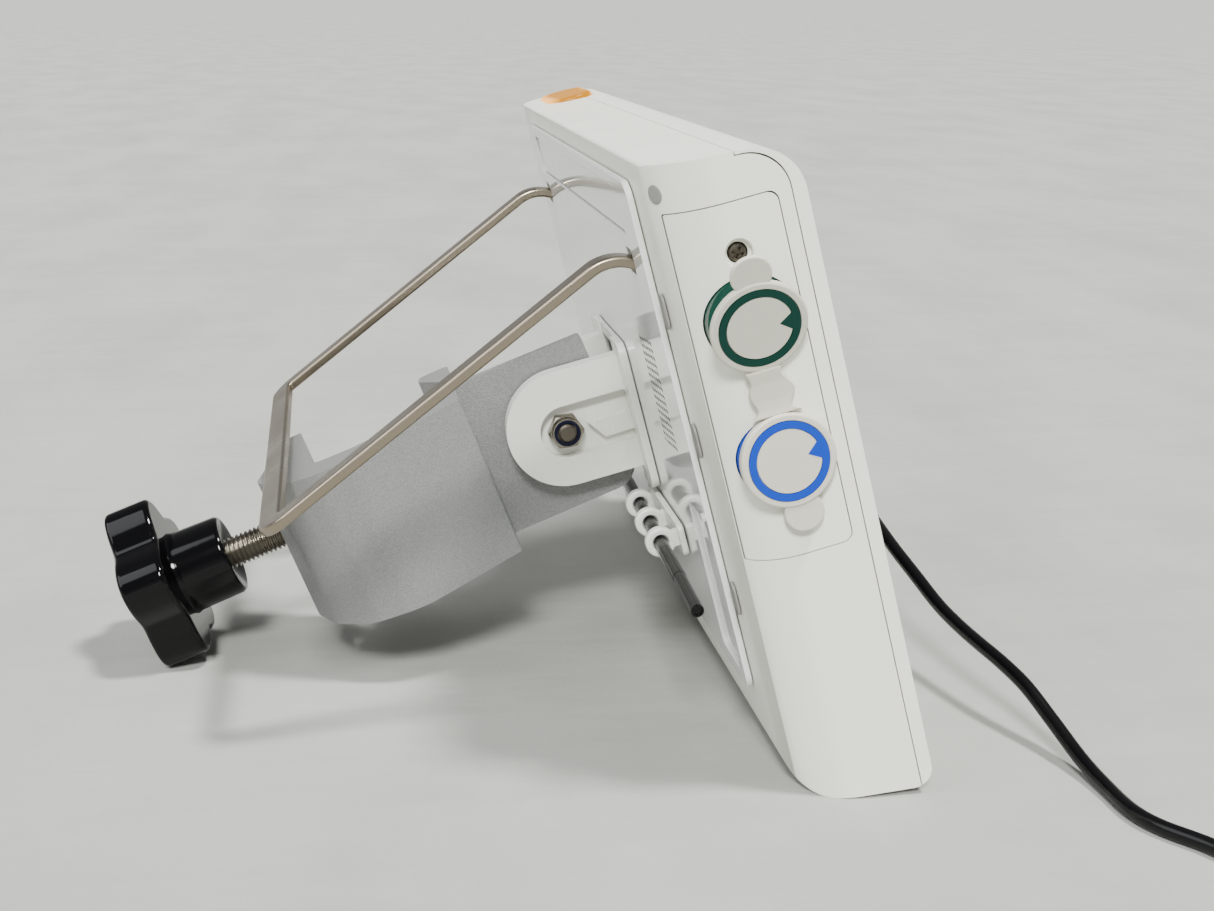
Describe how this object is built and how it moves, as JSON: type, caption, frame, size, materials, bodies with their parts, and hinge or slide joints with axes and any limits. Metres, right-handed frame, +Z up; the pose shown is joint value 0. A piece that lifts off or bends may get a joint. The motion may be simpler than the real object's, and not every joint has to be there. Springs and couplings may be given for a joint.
{
  "type": "patient monitor",
  "caption": "White bedside patient monitor leaning on its pole clamp, with a steel bail handle, two capped ports, a stylus and a black DC lead.",
  "frame": {"origin": "centre of the object's footprint, on the surface it stands on, without the lead", "axes": "+X along the screen's width towards the side without ports; -Y the way the screen faces; +Z up"},
  "size_m": [0.436, 0.362, 0.1705],
  "materials": {
    "body": "satin white moulded plastic",
    "gloss": "glossy white plastic",
    "glass": "dark display glass",
    "panel": "display panel with a black rim",
    "board": "green circuit board",
    "battery": "dark blue wrap",
    "dark": "black plastic",
    "knob": "glossy black plastic",
    "orange": "translucent orange lens, lit",
    "rubber": "warm grey rubber",
    "green": "dark green plastic",
    "blue": "mid blue plastic",
    "plug": "grey rubber",
    "steel": "bright plated steel",
    "brushed": "brushed stainless flat bar",
    "navy": "navy nylon",
    "cast": "silver hammered paint on a casting",
    "nylon": "white nylon",
    "cord": "black flexible plastic",
    "dome": "grey button"
  },
  "bodies": {
    "monitor": {"rear_housing": "body", "front_bezel": "body", "display_glass": "glass", "display_panel": "panel", "main_board": "board", "battery_pack": "battery", "speaker": "dark", "alarm_light_board": "board", "port_board": "board", "alarm_light_lens": "orange", "side_panel": "body", "side_panel_screw": "steel", "port_green": "green", "port_blue": "blue", "cap_strap": "rubber", "rear_panel": "gloss", "rear_cover": "gloss", "slot_plug_near_1": "plug", "slot_plug_near_2": "plug", "slot_plug_near_3": "plug", "slot_plug_far_1": "plug", "slot_plug_far_2": "plug", "slot_plug_far_3": "plug", "hinge_bracket": "body", "pivot_bolt": "steel", "pivot_nut": "steel", "nut_lock_ring": "navy", "pivot_washer_near": "nylon", "pivot_washer_far": "nylon", "bail_handle": "brushed", "stylus_holder": "body", "power_inlet": "dark", "power_plug": "cord", "strain_relief": "cord", "power_cord": "cord", "cord_coil": "cord", "cord_tie": "dark", "cord_connector": "cord"},
    "clamp": {"clamp_casting": "cast"},
    "clamp_pad": {"clamp_pad": "dark"},
    "clamp_screw": {"clamp_screw": "steel", "clamp_knob": "knob"},
    "cap_green": {"cap_green": "rubber", "cap_green_ring": "green"},
    "cap_blue": {"cap_blue": "rubber", "cap_blue_ring": "blue"},
    "stylus": {"stylus": "dark"},
    "power_button": {"power_button": "dome"}
  },
  "joints": [
    {"name": "tilt", "type": "hinge", "parent": "monitor", "child": "clamp", "pos_m": [0.00815, -0.03157, 0.07252], "axis": [1, 0, 0], "range_deg": [-15, 0]},
    {"name": "pad_travel", "type": "slide", "parent": "clamp", "child": "clamp_pad", "axis": [0, -0.9342, 0.3567], "range_m": [-0.011, 0.017]},
    {"name": "screw_turn", "type": "hinge", "parent": "clamp_pad", "child": "clamp_screw", "pos_m": [0.00815, 0.07334, 0.03246], "axis": [0, -0.9342, 0.3567], "range_deg": [-2700, 4140]},
    {"name": "green_cap_pull", "type": "slide", "parent": "monitor", "child": "cap_green", "axis": [-1, 0, 0], "range_m": [0, 0.012]},
    {"name": "blue_cap_pull", "type": "slide", "parent": "monitor", "child": "cap_blue", "axis": [-1, 0, 0], "range_m": [0, 0.012]},
    {"name": "stylus_slide", "type": "slide", "parent": "monitor", "child": "stylus", "axis": [-0.9996, 0.0294, 0.0018], "range_m": [0, 0.12]},
    {"name": "power_press", "type": "slide", "parent": "monitor", "child": "power_button", "axis": [0, 0.969, -0.247], "range_m": [0, 0.0012], "stiffness_N_per_m": 400}
  ],
  "couplings": [
    {"joint": "screw_turn", "follows": "pad_travel", "rad_per_m": 4188.8}
  ]
}
